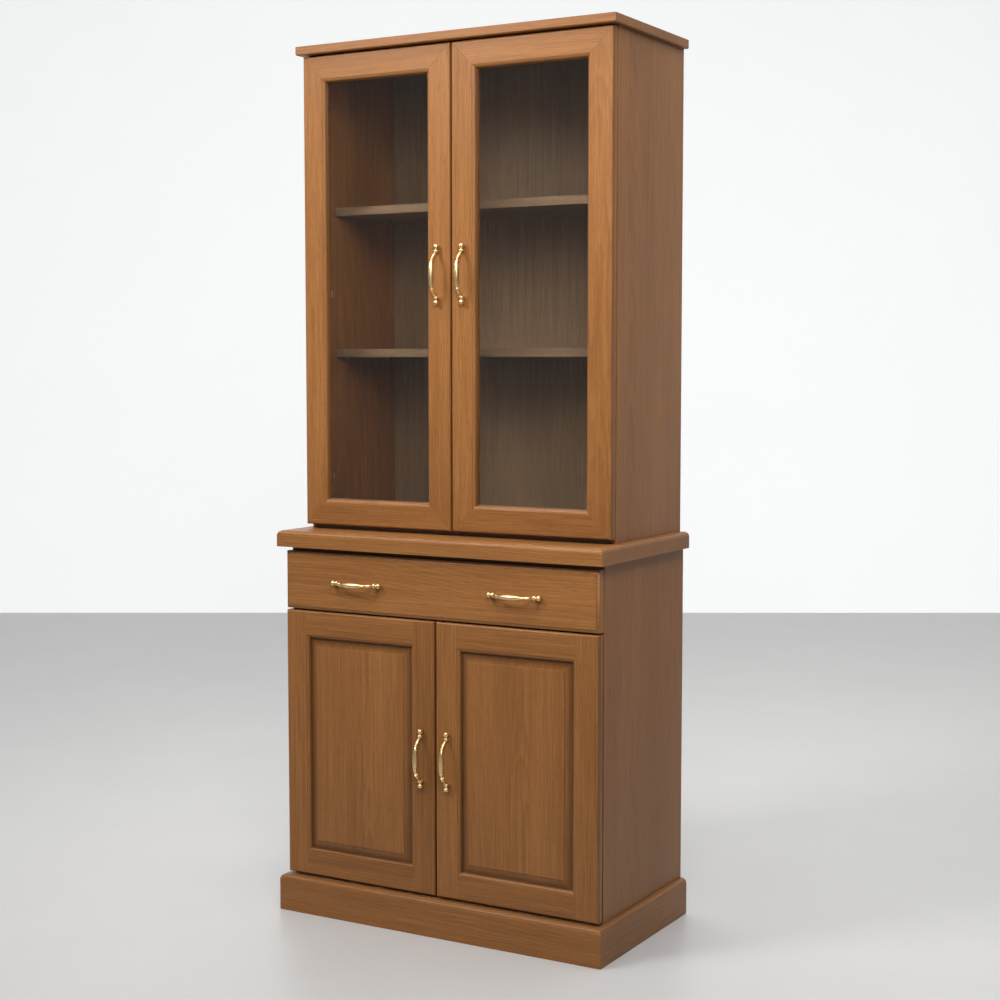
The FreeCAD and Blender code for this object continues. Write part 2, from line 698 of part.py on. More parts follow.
def make_hinge_masters():
    """One hinge about its pivot: the cup, its pin filed flush, and the arm with its plate."""
    radius = s.cup_radius - s.cup_play
    floor = s.pivot_from_back - s.cup_depth
    mouth = s.pivot_from_back
    cup = new_body("hinge_cup")
    rod(cup, "Y", (CUP_CENTRE, floor, 0), radius, s.cup_depth)
    rod(cup, "Y", (CUP_CENTRE, mouth, 0), s.cup_radius + s.cup_rim, s.cup_rim)
    wing = s.cup_wing_width / 2
    middle = CUP_CENTRE - wing / 2
    block(cup, (middle - wing, middle + wing), (mouth, mouth + s.cup_rim),
          (-s.cup_wing_length / 2, s.cup_wing_length / 2))
    rod(cup, "Y", (CUP_CENTRE, floor + s.cup_wall, 0), radius - s.cup_wall,
        s.cup_depth + s.cup_rim, cut=True)
    rod(cup, "Z", (0, 0, -radius), s.pin_radius, radius * 2, cut=True)
    shank = new_body("pin_shank")
    rod(shank, "Z", (0, 0, -radius), s.pin_radius, radius * 2)
    outside = new_body("cup_outside")
    rod(outside, "Y", (CUP_CENTRE, floor, 0), radius, s.cup_depth)
    pin = doc.addObject("Part::Common", "hinge_pin")
    pin.Base = shank
    pin.Tool = outside

    half = s.arm_steel / 2
    reach = s.nose_reach
    outside, inside = -reach - half, half - reach
    arm = new_body("hinge_arm")
    corner = round_over((outside, -half), (-1, 0), (0, 1), s.arm_bend)
    crook = round_over((inside, half), (0, -1), (1, 0), s.arm_bend - s.arm_steel)
    strip = corner + [(outside, s.arm_start), (inside, s.arm_start)] + crook
    strip += [(0, half), (0, -half)]
    nose = s.nose_width / 2
    pad(arm, "XY", [strip], (-nose, nose))
    rod(arm, "Z", (0, 0, -nose), s.eye_radius, s.nose_width)
    rod(arm, "Z", (0, 0, -nose), s.pin_radius + s.pin_play, s.nose_width, cut=True)
    wide = s.arm_width / 2
    near, far = s.arm_start, s.arm_end
    blade = [(near - s.nose_width, nose), (near - s.nose_width, -nose), (near, -wide),
             (far, -wide), (far, wide), (near, wide)]
    pad(arm, "YZ", [blade], (outside, inside))
    wing = s.plate_wing
    plate = [(near, wide), (near, -wide), (s.plate_start, -wide), (s.plate_start, -wing),
             (s.plate_end, -wing), (s.plate_end, -wide), (far, -wide), (far, wide),
             (s.plate_end, wide), (s.plate_end, wing), (s.plate_start, wing),
             (s.plate_start, wide)]
    pad(arm, "YZ", [plate], (inside, s.pivot_from_edge - s.side_board))
    return cup, pin, arm


def make_hinges():
    cup, pin, arm = make_hinge_masters()
    for door, half, face, heights in (("base", BASE_HALF, BASE_FACE, BASE_HINGES),
                                      ("hutch", HUTCH_HALF, HUTCH_FACE, HUTCH_HINGES)):
        pivot = (half - s.pivot_from_edge, face + s.door_board - s.pivot_from_back)
        cups = [placed(piece, *pivot, height) for height in heights for piece in (cup, pin)]
        keep_pair(door + "_door_%s_hinge_cups", group(door + "_cups", cups))
        arms = [placed(arm, *pivot, height) for height in heights]
        arms += [mirrored(one, "arm_left") for one in arms]
        keep(door + "_hinge_arms", group(door + "_hinge_arms", arms))


# ---------------------------------------------------------------- drawer

BOX_OUT = BASE_IN - s.side_play
BOX_IN = BOX_OUT - s.box_side
BOX_FRONT = BASE_FACE + s.door_board
BOX_BACK = BACK_FACE - s.box_rear_room
BOX_LOW = DRAWER_LOW + s.box_lift
BOX_HIGH = BOX_LOW + s.box_height
BOTTOM_LOW = BOX_LOW + s.bottom_lift
BOTTOM_HIGH = BOTTOM_LOW + s.bottom_board
BOTTOM_EDGE = BOX_IN + s.bottom_groove
RUNNER_LOW = BOX_LOW + s.runner_lift
RUNNER_HIGH = RUNNER_LOW + s.runner_height
TAILS = 3


def dovetail_pins():
    """The front corners' pins from the side, wider behind, with a half pin at each edge."""
    pitch = s.box_height / TAILS
    rear = BOX_FRONT + s.box_end
    outlines = []
    for k in range(TAILS + 1):
        level = BOX_LOW + pitch * k
        below, above = int(k > 0), int(k < TAILS)
        slim, wide = s.pin_slim / 2, s.pin_wide / 2
        outlines.append([(BOX_FRONT, level - slim * below), (rear, level - wide * below),
                         (rear, level + wide * above), (BOX_FRONT, level + slim * above)])
    return outlines


def make_drawer():
    front = new_body("drawer_front")
    block(front, (-BASE_HALF, BASE_HALF), (BASE_FACE, BOX_FRONT), (DRAWER_LOW, DRAWER_HIGH))
    fillet(front, s.edge_round, "YMin", None)
    keep("drawer_front", front)

    side = new_body("drawer_side")
    block(side, (BOX_IN, BOX_OUT), (BOX_FRONT, BOX_BACK), (BOX_LOW, BOX_HIGH))
    block(side, (BASE_IN - s.runner_width - s.runner_room, BOX_OUT),
          (BOX_FRONT + s.groove_stop, BOX_BACK),
          (RUNNER_LOW - s.runner_play, RUNNER_HIGH + s.runner_play), cut=True)
    bottom_front = BOX_FRONT + s.box_end - s.bottom_groove
    bottom_span = (BOTTOM_LOW, BOTTOM_HIGH)
    block(side, (BOX_IN, BOTTOM_EDGE), (bottom_front, BOX_BACK), bottom_span, cut=True)
    pocket_through(side, "YZ", dovetail_pins())
    keep_pair("drawer_side_%s", side)

    box_front = new_body("drawer_box_front")
    block(box_front, (-BOX_IN, BOX_IN), (BOX_FRONT, BOX_FRONT + s.box_end), (BOX_LOW, BOX_HIGH))
    pad(box_front, "YZ", dovetail_pins(), (BOX_IN, BOX_OUT))
    pad(box_front, "YZ", dovetail_pins(), (-BOX_OUT, -BOX_IN))
    block(box_front, (-BOTTOM_EDGE, BOTTOM_EDGE), (bottom_front, BOX_FRONT + s.box_end),
          bottom_span, cut=True)
    keep("drawer_box_front", box_front)
    board("drawer_box_back", (-BOX_IN, BOX_IN), (BOX_BACK - s.box_end, BOX_BACK),
          (BOTTOM_HIGH, BOX_HIGH))
    board("drawer_bottom", (-BOTTOM_EDGE, BOTTOM_EDGE), (bottom_front, BOX_BACK), bottom_span)

    runner = new_body("runner")
    block(runner, (BASE_IN - s.runner_width, BASE_IN),
          (BOX_FRONT + s.groove_stop + s.runner_room, BOX_BACK), (RUNNER_LOW, RUNNER_HIGH))
    keep("drawer_runners", group("drawer_runners", [runner, mirrored(runner, "runner_left")]))


# ---------------------------------------------------------------- turned bow pulls

# Half the bow thins from its belly to a neck with a turned ring, swells and thins again to
# its root in the barrel. Shares of its reach run from the bow's middle to the barrel.
NECK_SHARE = 0.68
BOW_STEPS = 5
BOW_POWER = 4


def bow_point(reach, share, beyond):
    """Place along the pull, height off the door and tilt of the bow's flat-topped curve."""
    height = s.pull_axis + s.bow_rise * (1 - share ** BOW_POWER)
    slope = s.bow_rise * (BOW_POWER * share ** (BOW_POWER - 1)) / reach
    return reach * share + beyond, height - slope * beyond, angle_of(slope)


def bow_sections():
    """Each round section's share of the reach, distance beyond that, and radius."""
    inner, ring, outer = [], [], []
    for k in range(BOW_STEPS):
        part = k / BOW_STEPS
        radius = s.belly_radius - (s.belly_radius - s.neck_radius) * part ** 2
        inner.append((NECK_SHARE * part, 0, radius))
    edge, crown = s.ring_width / 2, s.ring_width / 4
    for beyond, radius in ((-edge, s.neck_radius), (-crown, s.ring_radius),
                           (crown, s.ring_radius), (edge, s.neck_radius)):
        ring.append((NECK_SHARE, beyond, radius))
    for k in range(BOW_STEPS):
        part = (k + 1) / BOW_STEPS
        swell = math.sin(math.pi * part) ** 2
        radius = s.neck_radius + (s.swell_radius - s.neck_radius) * swell
        outer.append((NECK_SHARE + (1 - NECK_SHARE) * part, 0, radius))
    return inner + ring + outer


def half_bow(half_pull, reach):
    """Round sections square to the bow's curve, joined by straight rulings."""
    rings = []
    for share, beyond, radius in bow_sections():
        along, height, tilt = bow_point(reach, share, beyond)
        ring = new_sketch(half_pull, "YZ", along)
        turn = FreeCAD.Rotation(FreeCAD.Vector(0, 1, 0), value_of(tilt))
        ring.AttachmentOffset = FreeCAD.Placement(FreeCAD.Vector(), turn)
        bind(ring, "AttachmentOffset.Base.x", -height)
        circle = Part.Circle(FreeCAD.Vector(), FreeCAD.Vector(0, 0, 1), value_of(radius))
        side = ring.addGeometry(circle, False)
        ring.addConstraint(Sketcher.Constraint("Coincident", side, 3, -1, 1))
        fix(ring, "Radius", radius, side)
        rings.append(ring)
    bow = half_pull.newObject("PartDesign::AdditiveLoft", "Bow")
    bow.Profile = rings[0]
    bow.Sections = rings[1:]
    bow.Ruled = True


def make_pull_master():
    """A cast brass pull along X, standing off its door towards -Y."""
    half_pull = new_body("pull_right_half")
    centre = s.pull_centres / 2
    near = centre - s.barrel_length / 2
    far = centre + s.barrel_length / 2
    rod(half_pull, "Y", (centre, -s.pull_axis, 0), s.post_radius, s.pull_axis)
    rod(half_pull, "Y", (centre, -s.foot_height, 0), s.foot_radius, s.foot_height)

    shoulder = s.barrel_radius - s.barrel_bevel
    ball_radius = s.ball_radius
    neck = far + s.waist_length
    ball_centre = neck + root(ball_radius * ball_radius - s.waist_radius * s.waist_radius)
    profile = [(near, 0), (near, shoulder), (near + s.barrel_bevel, s.barrel_radius),
               (far - s.barrel_bevel, s.barrel_radius), (far, shoulder),
               (far, s.waist_radius), (neck, s.waist_radius),
               rounded((ball_centre, 0), ball_radius, (ball_centre + ball_radius, 0))]
    sketch = new_sketch(half_pull, "XY")
    bind(sketch, "AttachmentOffset.Base.y", -s.pull_axis)
    draw(sketch, profile)
    turning = half_pull.newObject("PartDesign::Revolution", "Turning")
    turning.Profile = sketch
    turning.ReferenceAxis = (sketch, ["H_Axis"])
    turning.Angle = 360

    half_bow(half_pull, near)
    pull = doc.addObject("Part::Fuse", "bow_pull")
    pull.Base = half_pull
    pull.Tool = mirrored(half_pull, "pull_left_half")
    return pull


def make_pulls():
    pull = make_pull_master()
    upright = FreeCAD.Rotation(FreeCAD.Vector(0, 1, 0), 90)
    base_centre = DOOR_INNER_EDGE + s.base_frame_width / 2
    hutch_centre = DOOR_INNER_EDGE + s.hutch_frame_width / 2
    level = (DRAWER_LOW + DRAWER_HIGH) / 2
    keep_pair("base_door_%s_pull", placed(pull, base_centre, BASE_FACE,
                                          BASE_DOOR_LOW + s.base_pull_height, upright))
    keep_pair("hutch_door_%s_pull", placed(pull, hutch_centre, HUTCH_FACE,
                                           HUTCH_DOOR_LOW + s.hutch_pull_height, upright))
    keep_pair("drawer_pull_%s", placed(pull, BASE_HALF - s.drawer_pull_inset, BASE_FACE, level))


# ---------------------------------------------------------------- the whole piece

make_plinth()
make_base_carcass()
make_countertop()
make_hutch_carcass()
make_shelf_pins()
make_base_doors()
make_hutch_doors()
make_hinges()
make_drawer()
make_pulls()
doc.recompute()

faulty = [item.Label for item in doc.Objects
          if "Invalid" in item.State or "Error" in item.State]
faulty += [label for label, piece in nodes.items()
           if piece.Shape.isNull() or not piece.Shape.isValid()]
if faulty:
    raise RuntimeError("these pieces failed: " + ", ".join(faulty))

os.makedirs("parts", exist_ok=True)
for label, piece in nodes.items():
    solids = piece.Shape.Solids
    shape = solids[0] if len(solids) == 1 else Part.makeCompound(solids)
    shape.exportStep("parts/%s.step" % label)
    print("%-36s %2d solid(s) %9.1f cm3" % (label, len(solids), shape.Volume / 1000))
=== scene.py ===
"""Finishes and fine detail for a dresser with a glazed hutch, in metres.

X runs to the viewer's right, Y to the rear and Z up. Pieces take their places from the frame's
nodes, and the sizes of fine detail are given here.
"""
import json
import math

import bpy
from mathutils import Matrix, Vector


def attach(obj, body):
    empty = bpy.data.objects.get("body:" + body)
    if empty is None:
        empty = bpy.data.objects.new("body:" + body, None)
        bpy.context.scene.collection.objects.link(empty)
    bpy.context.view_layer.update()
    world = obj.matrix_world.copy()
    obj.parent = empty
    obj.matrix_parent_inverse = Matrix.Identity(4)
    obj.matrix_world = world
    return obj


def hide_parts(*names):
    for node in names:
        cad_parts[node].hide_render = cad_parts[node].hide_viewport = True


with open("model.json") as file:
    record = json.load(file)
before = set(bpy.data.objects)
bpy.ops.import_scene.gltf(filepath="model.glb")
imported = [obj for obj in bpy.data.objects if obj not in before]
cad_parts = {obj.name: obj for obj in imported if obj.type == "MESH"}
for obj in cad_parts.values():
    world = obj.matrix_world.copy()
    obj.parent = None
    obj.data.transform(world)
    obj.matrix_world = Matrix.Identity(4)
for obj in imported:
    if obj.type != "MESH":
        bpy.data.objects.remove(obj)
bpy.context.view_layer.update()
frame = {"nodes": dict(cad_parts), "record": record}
body_of_node = {node: body for body, nodes in frame["record"]["behaviour"]["bodies"].items()
                for node in nodes}


# ---------------------------------------------------------------- shader nodes

def feed(tree, node, **inputs):
    """Give inputs of a node a value, or the socket that feeds them. i3 is input number 3."""
    for name, value in inputs.items():
        numbered = name[0] == "i" and name[1:].isdigit()
        socket = node.inputs[int(name[1:]) if numbered else name.replace("_", " ")]
        if isinstance(value, bpy.types.NodeSocket):
            tree.links.new(value, socket)
        else:
            socket.default_value = value


def add(tree, kind, settings=None, **inputs):
    """Add a node to the tree, with its settings and its inputs."""
    made = tree.nodes.new("ShaderNode" + kind)
    for name, value in (settings or {}).items():
        setattr(made, name, value)
    feed(tree, made, **inputs)
    return made


def new_finish(name):
    """A material with its principled shader and its output, and nothing else in it yet."""
    finish = bpy.data.materials.new(name)
    finish.use_nodes = True
    tree = finish.node_tree
    tree.nodes.clear()
    shader = add(tree, "BsdfPrincipled")
    add(tree, "OutputMaterial", Surface=shader.outputs["BSDF"])
    return finish, tree, shader


def own_place(tree):
    """Object coordinates, which stay with the piece as it moves."""
    return add(tree, "TexCoord").outputs["Object"]


def calc(tree, operation, first, second=0.0, third=0.0):
    """The result of one sum."""
    made = add(tree, "Math", {"operation": operation}, i0=first, i1=second, i2=third)
    return made.outputs[0]


def noise(tree, place, across, along, detail=2.0, roughness=0.5):
    """Noise on a place whose X and Y are scaled across the grain and whose Z along it."""
    scaled = add(tree, "VectorMath", {"operation": "MULTIPLY"}, i0=place,
                 i1=(across, across, along)).outputs[0]
    made = add(tree, "TexNoise", Vector=scaled, Scale=1.0, Detail=detail, Roughness=roughness)
    return made.outputs["Fac"]


def stretched(tree, value, low, high, to_low=0.0, to_high=1.0):
    """Spread the part of a value between low and high over a new range."""
    made = add(tree, "MapRange", {"clamp": True}, i0=value, i1=low, i2=high, i3=to_low,
               i4=to_high)
    return made.outputs[0]


def mixed(tree, share, first, second):
    """The first colour, with a share of the second in it."""
    return add(tree, "Mix", {"data_type": "RGBA"}, i0=share, i6=first, i7=second).outputs[2]


def opaque(colour, share=1.0):
    """A colour with its alpha, darkened to a share of itself."""
    return (*[part * share for part in colour], 1)


# ---------------------------------------------------------------- timber

RING_PITCH = 0.0052
RING_TAPER = 0.026
PITH_DEPTH = 0.034
RINGS_WANDER = 0.05
RINGS_UNEVEN = 1.7
LATE_WOOD_FROM = 0.15
LATE_WOOD_TO = 0.86
# Scale across the grain and along it, then detail and roughness.
PATTERNS = {"wander": (5.5, 1.7, 2.0, 0.5), "uneven": (34.0, 1.2, 2.0, 0.5),
            "broad": (7.0, 0.9, 1.0, 0.5), "streak": (95.0, 2.6, 4.0, 0.62),
            "fine": (420.0, 9.0, 2.0, 0.6), "pore": (1150.0, 42.0, 1.0, 0.5)}
MIDDLE = 0.5
PLAIN_TONE = 0.55
RING_TONE = -0.20
TONE_SHIFTS = {"streak": 0.65, "broad": 0.70, "fine": 0.85}
PORES_FROM = 0.56
PORES_TO = 0.70
PORE_SHADE = 0.5
PORE_RELIEF = -0.8
FINE_RELIEF = 0.35
LEAST_ROUGH = 0.30
STREAK_ROUGH = 0.12


def make_timber_group():
    """Timber cut from a log, in metres: the pith runs along Z, behind the face."""
    group = bpy.data.node_groups.new("timber", "ShaderNodeTree")
    for name, kind in (("Vector", "Vector"), ("Dark", "Color"), ("Mid", "Color"),
                       ("Light", "Color"), ("Rings", "Float")):
        group.interface.new_socket(name, in_out="INPUT", socket_type="NodeSocket" + kind)
    for name, kind in (("Color", "Color"), ("Relief", "Float"), ("Roughness", "Float")):
        group.interface.new_socket(name, in_out="OUTPUT", socket_type="NodeSocket" + kind)
    given = group.nodes.new("NodeGroupInput").outputs
    place = given["Vector"]
    pattern = {name: noise(group, place, *settings) for name, settings in PATTERNS.items()}

    apart = add(group, "SeparateXYZ", Vector=place).outputs
    depth = calc(group, "ADD", apart[1], PITH_DEPTH)
    reach = calc(group, "SQRT", calc(group, "MULTIPLY_ADD", apart[0], apart[0],
                                     calc(group, "MULTIPLY", depth, depth)))
    reach = calc(group, "MULTIPLY_ADD", apart[2], RING_TAPER, reach)
    reach = calc(group, "MULTIPLY_ADD", pattern["wander"], RINGS_WANDER, reach)
    years = calc(group, "DIVIDE", reach, RING_PITCH)
    years = calc(group, "MULTIPLY_ADD", pattern["uneven"], RINGS_UNEVEN, years)
    year = calc(group, "FRACT", years)
    late_wood = calc(group, "MULTIPLY", stretched(group, year, LATE_WOOD_FROM, LATE_WOOD_TO),
                     stretched(group, year, LATE_WOOD_TO, 1.0, 1.0, 0.0))

    tone = calc(group, "MULTIPLY_ADD", calc(group, "MULTIPLY", late_wood, given["Rings"]),
                RING_TONE, PLAIN_TONE)
    for name, shift in TONE_SHIFTS.items():
        tone = calc(group, "MULTIPLY_ADD", calc(group, "SUBTRACT", pattern[name], MIDDLE),
                    shift, tone)
    pores = stretched(group, pattern["pore"], PORES_FROM, PORES_TO)
    colour = mixed(group, stretched(group, tone, 0.0, MIDDLE), given["Dark"], given["Mid"])
    colour = mixed(group, stretched(group, tone, MIDDLE, 1.0), colour, given["Light"])
    colour = mixed(group, calc(group, "MULTIPLY", pores, PORE_SHADE), colour, given["Dark"])
    relief = calc(group, "MULTIPLY_ADD", pores, PORE_RELIEF,
                  calc(group, "MULTIPLY", pattern["fine"], FINE_RELIEF))
    rough = calc(group, "MULTIPLY_ADD", pattern["streak"], STREAK_ROUGH, LEAST_ROUGH)

    taken = group.nodes.new("NodeGroupOutput").inputs
    for name, value in (("Color", colour), ("Relief", relief), ("Roughness", rough)):
        group.links.new(value, taken[name])
    return group


timber_group = make_timber_group()

# Turns that bring the grain's own axis to Z, with the board's face towards -Y.
GRAIN_TURNS = {"z": (0.0, 0.0, 0.0), "x": (0.0, math.radians(-90), 0.0),
               "y": (math.radians(90), 0.0, 0.0)}

STAIN = {"dark": (0.130, 0.050, 0.014), "mid": (0.234, 0.096, 0.027),
         "light": (0.340, 0.148, 0.046), "rings": 0.75}
INSIDE_STAIN = {"dark": (0.120, 0.070, 0.038), "mid": (0.205, 0.128, 0.070),
                "light": (0.285, 0.182, 0.102), "rings": 0.4}
PALE_WOOD = {"dark": (0.30, 0.17, 0.075), "mid": (0.52, 0.34, 0.17),
             "light": (0.66, 0.46, 0.26), "rings": 0.5}

WOOD_BUMP = {"Strength": 0.22, "Distance": 0.0004}
WOOD_SPECULAR = 0.24
# Painted shade in recesses: its greatest share, the depth it fades out over, and its darkness.
RECESS_SHADE_SHARE = 0.6
RECESS_SHADE_FADE = 0.0005
RECESS_SHADE_DARKNESS = 0.4


def painted_recess_shade(tree, place, colour, wood, recess):
    """Painted shade in a recess, standing in for the shade that falls there: it starts at the
    first depth, is full at the second and ends at the third.
    """
    depth = add(tree, "SeparateXYZ", Vector=place).outputs[1]
    starts, full, ends = recess
    share = calc(tree, "MULTIPLY", stretched(tree, depth, starts, full, 0.0, RECESS_SHADE_SHARE),
                 stretched(tree, depth, ends, ends + RECESS_SHADE_FADE, 1.0, 0.0))
    return mixed(tree, share, colour, opaque(wood["dark"], RECESS_SHADE_DARKNESS))


def timber(name, wood, grain, pith, shift, recess=None):
    """A wooden finish. pith is where the log's heart lies, across the grain and in depth."""
    finish, tree, shader = new_finish(name)
    place = own_place(tree)
    turned_place = add(tree, "Mapping", {"vector_type": "TEXTURE"}, Vector=place,
                       Rotation=GRAIN_TURNS[grain]).outputs[0]
    moved_place = add(tree, "VectorMath", {"operation": "SUBTRACT"}, i0=turned_place,
                      i1=(pith[0], pith[1], -shift)).outputs[0]
    wooden = add(tree, "Group", {"node_tree": timber_group}, Vector=moved_place,
                 Dark=opaque(wood["dark"]), Mid=opaque(wood["mid"]),
                 Light=opaque(wood["light"]), Rings=wood["rings"]).outputs
    colour = wooden["Color"]
    # Painted shade darkens the board's recesses behind its face.
    if recess:
        colour = painted_recess_shade(tree, place, colour, wood, recess)
    bump = add(tree, "Bump", Height=wooden["Relief"], **WOOD_BUMP)
    feed(tree, shader, Base_Color=colour, Roughness=wooden["Roughness"],
         Normal=bump.outputs["Normal"], Specular_IOR_Level=WOOD_SPECULAR)
    return finish


# ---------------------------------------------------------------- metal and glass

BRASS = (0.88, 0.66, 0.33)
TARNISH = (0.40, 0.25, 0.10)
TARNISH_SCALE = 240.0
TARNISH_FROM = 0.38
TARNISH_TO = 0.72
TARNISH_SHARE = 0.6
BRASS_ROUGH = 0.28
TARNISH_ROUGH = 0.16
NICKEL_DARK = (0.50, 0.49, 0.47)
NICKEL_LIGHT = (0.72, 0.71, 0.69)
NICKEL_MARKS = (2200.0, 160.0)
NICKEL_ROUGH = 0.18
MARKS_ROUGH = 0.22
GLASS_TINT = (0.90, 0.88, 0.84)
GLASS_ROUGH = 0.02
GLASS_IOR = 1.45
GLASS_LETS_THROUGH = (0.42, 0.44, 0.45)


def make_brass():
    """Aged brass with brown tarnish in patches."""
    finish, tree, shader = new_finish("antique_brass")
    cloud = noise(tree, own_place(tree), TARNISH_SCALE, TARNISH_SCALE, 3.0)
    patches = stretched(tree, cloud, TARNISH_FROM, TARNISH_TO)
    colour = mixed(tree, calc(tree, "MULTIPLY", patches, TARNISH_SHARE), opaque(BRASS),
                   opaque(TARNISH))
    rough = calc(tree, "MULTIPLY_ADD", patches, TARNISH_ROUGH, BRASS_ROUGH)
    feed(tree, shader, Base_Color=colour, Roughness=rough, Metallic=1.0)
    return finish


def make_nickel():
    """Nickel-plated steel with fine rolling marks."""
    finish, tree, shader = new_finish("nickel_plate")
    marks = noise(tree, own_place(tree), *NICKEL_MARKS)
    colour = mixed(tree, marks, opaque(NICKEL_DARK), opaque(NICKEL_LIGHT))
    rough = calc(tree, "MULTIPLY_ADD", marks, MARKS_ROUGH, NICKEL_ROUGH)
    feed(tree, shader, Base_Color=colour, Roughness=rough, Metallic=1.0)
    return finish


def make_glass():
    """A clear pane with a faint brown tint, which lets part of a lamp's light through."""
    finish, tree, shader = new_finish("clear_pane")
    feed(tree, shader, Base_Color=opaque(GLASS_TINT), Transmission_Weight=1.0,
         Roughness=GLASS_ROUGH, IOR=GLASS_IOR)
    out = next(n for n in tree.nodes if n.type == "OUTPUT_MATERIAL")
    open_way = add(tree, "BsdfTransparent", Color=opaque(GLASS_LETS_THROUGH))
    lamp_ray = add(tree, "LightPath").outputs["Is Shadow Ray"]
    either = add(tree, "MixShader", i0=lamp_ray, i1=shader.outputs[0], i2=open_way.outputs[0])
    feed(tree, out, Surface=either.outputs[0])
    return finish


antique_brass = make_brass()
nickel_plate = make_nickel()
clear_pane = make_glass()


# ---------------------------------------------------------------- working on pieces

def box_round(spots):
    """Lowest and highest corner of a box round points."""
    return (Vector(min(p[k] for p in spots) for k in range(3)),
            Vector(max(p[k] for p in spots) for k in range(3)))


def box_of(piece):
    """Lowest and highest corner of a piece's own mesh."""
    return box_round([v.co for v in piece.data.vertices])


def pick_only(*pieces):
    """Leave just these pieces selected, the first one active."""
    bpy.ops.object.select_all(action="DESELECT")
    for piece in pieces:
        piece.select_set(True)
    bpy.context.view_layer.objects.active = pieces[0]


def new_piece(name, mesh):
    """A piece in the scene that shows a mesh."""
    piece = bpy.data.objects.new(name, mesh)
    bpy.context.scene.collection.objects.link(piece)
    return piece


def apply_place():
    """Put the place, turn and scale of what is selected into its mesh."""
    bpy.ops.object.transform_apply(location=True, rotation=True, scale=True)


def smooth_below(degrees):
    """Shade the selected piece smooth, apart from edges sharper than this."""
    bpy.ops.object.shade_smooth_by_angle(angle=math.radians(degrees))


WELD = 1e-6
FLAT_WITHIN = math.radians(0.5)


def welded_copy(node):
    """A node's solids as new welded pieces, one for each, with their flat faces whole again."""
    piece = new_piece(node + "_1", frame["nodes"][node].data.copy())
    piece.data.materials.clear()
    pick_only(piece)
    bpy.ops.object.mode_set(mode="EDIT")
    bpy.ops.mesh.select_all(action="SELECT")
    bpy.ops.mesh.remove_doubles(threshold=WELD)
    bpy.ops.mesh.dissolve_limited(angle_limit=FLAT_WITHIN)
    bpy.ops.mesh.separate(type="LOOSE")
    bpy.ops.object.mode_set(mode="OBJECT")
    pieces = sorted(bpy.context.selected_objects, key=lambda p: box_of(p)[0][:])
    for k, one in enumerate(pieces, start=1):
        one.name = "%s_%d" % (node, k) if len(pieces) > 1 else node + "_board"
    return pieces


# ---------------------------------------------------------------- boards

EASED_ABOVE = math.radians(38)
BOARD_SMOOTH = 48


def ease_arrises(piece, width):
    """Take the sharpness off a board's edges, as sanding does."""
    pick_only(piece)
    eased = piece.modifiers.new("eased", "BEVEL")
    eased.width = width
    eased.segments = 2
    eased.limit_method = "ANGLE"
    eased.angle_limit = EASED_ABOVE
    bpy.ops.object.modifier_apply(modifier=eased.name)
    smooth_below(BOARD_SMOOTH)
    flat = piece.modifiers.new("flats_stay_flat", "WEIGHTED_NORMAL")
    flat.keep_sharp = True
    bpy.ops.object.modifier_apply(modifier=flat.name)


def grain_of(piece):
    """A board's grain runs along its length."""
    low, high = box_of(piece)
    spans = list(high - low)
    return "xyz"[spans.index(max(spans))]


PITH_NEAREST = 0.16
PITH_STEP = 0.05
PITH_STEPS = 5
LOT_SHIFT = 0.37

lots = iter(range(1000))


def lay_boards(node, wood, width, grain=None, heart=None, recess=None, pieces=None):
    """Stand eased and finished boards in for a wooden node.

    The grain follows the board's length, or the axis given. heart is how far the log's pith
    lies from the board's middle, and without it the pith lies well outside the board. recess
    gives three depths behind the board's face: where painted shade starts to darken the
    recess, where it is darkest and where it ends. pieces are boards to use in place of the
    node's own shape.
    """
    for piece in pieces or welded_copy(node):
        ease_arrises(piece, width)
        way = grain or grain_of(piece)
        low, high = box_of(piece)
        lot = next(lots)
        centre = (low + high) / 2
        if heart is None:
            across = PITH_NEAREST + PITH_STEP * (lot % PITH_STEPS)
            pith = (across if way != "x" else centre.z + across, 0.0)
        else:
            pith = (centre.x + heart if way != "x" else -centre.z - heart, low.y)
        depths = [low.y + depth for depth in recess] if recess else None
        piece.data.materials.append(timber("%s_finish" % piece.name, wood, way, pith,
                                           lot * LOT_SHIFT, depths))
        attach(piece, body_of_node[node])
        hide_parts(node)


MOULDING_WIDTH = 0.0065
MOULDING_DEPTH = 0.0032
STEP_WIDTH = 0.0004
STEP_DEPTH = 0.0012
FACES_FRONT = -0.9


def stepped_board(node):
    """A board of the node's size, with a sloped moulding and a small step round its face."""
    low, high = box_of(frame["nodes"][node])
    front = low.y + MOULDING_DEPTH + STEP_DEPTH
    bpy.ops.mesh.primitive_cube_add(size=1, location=((low.x + high.x) / 2,
                                                      (front + high.y) / 2,
                                                      (low.z + high.z) / 2))
    board = bpy.context.active_object
    board.name = node + "_board"
    board.scale = (high.x - low.x, high.y - front, high.z - low.z)
    apply_place()
    bpy.ops.object.mode_set(mode="EDIT")
    bpy.ops.mesh.select_mode(type="FACE")
    bpy.ops.mesh.select_all(action="DESELECT")
    bpy.ops.object.mode_set(mode="OBJECT")
    for face in board.data.polygons:
        face.select = face.normal.y < FACES_FRONT
    bpy.ops.object.mode_set(mode="EDIT")
    bpy.ops.mesh.inset(thickness=MOULDING_WIDTH, depth=MOULDING_DEPTH)
    bpy.ops.mesh.inset(thickness=STEP_WIDTH, depth=STEP_DEPTH)
    bpy.ops.mesh.select_mode(type="VERT")
    bpy.ops.object.mode_set(mode="OBJECT")
    return board


